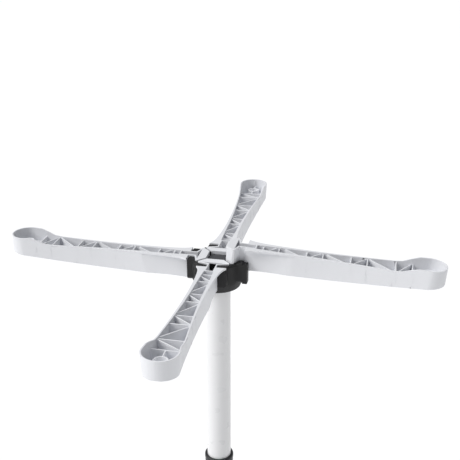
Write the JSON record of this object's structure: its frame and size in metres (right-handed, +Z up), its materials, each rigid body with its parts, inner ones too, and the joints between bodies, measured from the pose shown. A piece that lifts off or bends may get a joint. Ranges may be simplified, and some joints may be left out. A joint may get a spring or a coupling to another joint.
{
  "type": "rotary clothesline",
  "caption": "Rotary clothes dryer top: telescopic white mast, charcoal hub and light grey ribbed channel arms that lift out of pockets in the hub, one shown tipped up.",
  "frame": {"origin": "centre of the mast's foot, at its lowest face", "axes": "+Z up along the mast axis; +X towards the arm whose root is tipped up; +Y towards the rear arm"},
  "size_m": [0.7651, 0.763, 1.246],
  "materials": {
    "arm_plastic": "light grey moulded plastic with a fine grain",
    "hub_plastic": "charcoal moulded plastic with a fine grain",
    "cap_plastic": "dark grey moulded plastic",
    "bush_plastic": "natural slippery plastic",
    "collar_plastic": "dark grey moulded plastic",
    "mast_paint": "smooth white powder coat",
    "steel": "zinc plated"
  },
  "bodies": {
    "lower_mast": {"mast_lower": "mast_paint", "foot_plug": "cap_plastic", "foot_plug_pin": "steel", "collar_base": "collar_plastic", "collar_rivets": "steel", "collar_collet": "bush_plastic"},
    "collar": {"twist_collar": "collar_plastic"},
    "upper_mast": {"mast_upper": "mast_paint", "guide_plug": "bush_plastic", "guide_plug_pin": "steel", "top_plug": "cap_plastic", "thrust_washer": "steel", "retaining_washer": "steel", "retaining_screw": "steel"},
    "head": {"hub_body": "hub_plastic", "hub_bush": "bush_plastic", "hub_cap": "cap_plastic"},
    "front_arm": {"arm_front": "arm_plastic"},
    "left_arm": {"arm_left": "arm_plastic"},
    "rear_arm": {"arm_rear": "arm_plastic"},
    "right_arm": {"arm_right": "arm_plastic"}
  },
  "joints": [
    {"name": "collar_turn", "type": "hinge", "parent": "lower_mast", "child": "collar", "pos_m": [0, 0, 0.77], "axis": [0, 0, 1], "range_deg": [0, 90]},
    {"name": "mast_slide", "type": "slide", "parent": "lower_mast", "child": "upper_mast", "axis": [0, 0, 1], "range_m": [-0.3, 0]},
    {"name": "head_turn", "type": "hinge", "parent": "upper_mast", "child": "head", "pos_m": [0, 0, 1.221], "axis": [0, 0, 1], "continuous": true},
    {"name": "front_arm_lift", "type": "slide", "parent": "head", "child": "front_arm", "axis": [0, 0, 1], "range_m": [0, 0.05]},
    {"name": "left_arm_lift", "type": "slide", "parent": "head", "child": "left_arm", "axis": [0, 0, 1], "range_m": [0, 0.05]},
    {"name": "rear_arm_lift", "type": "slide", "parent": "head", "child": "rear_arm", "axis": [0, 0, 1], "range_m": [0, 0.05]},
    {"name": "right_arm_tip", "type": "hinge", "parent": "head", "child": "right_arm", "pos_m": [0.367, 0, 1.204], "axis": [0, 1, 0], "range_deg": [-4.1, 1.5]}
  ]
}
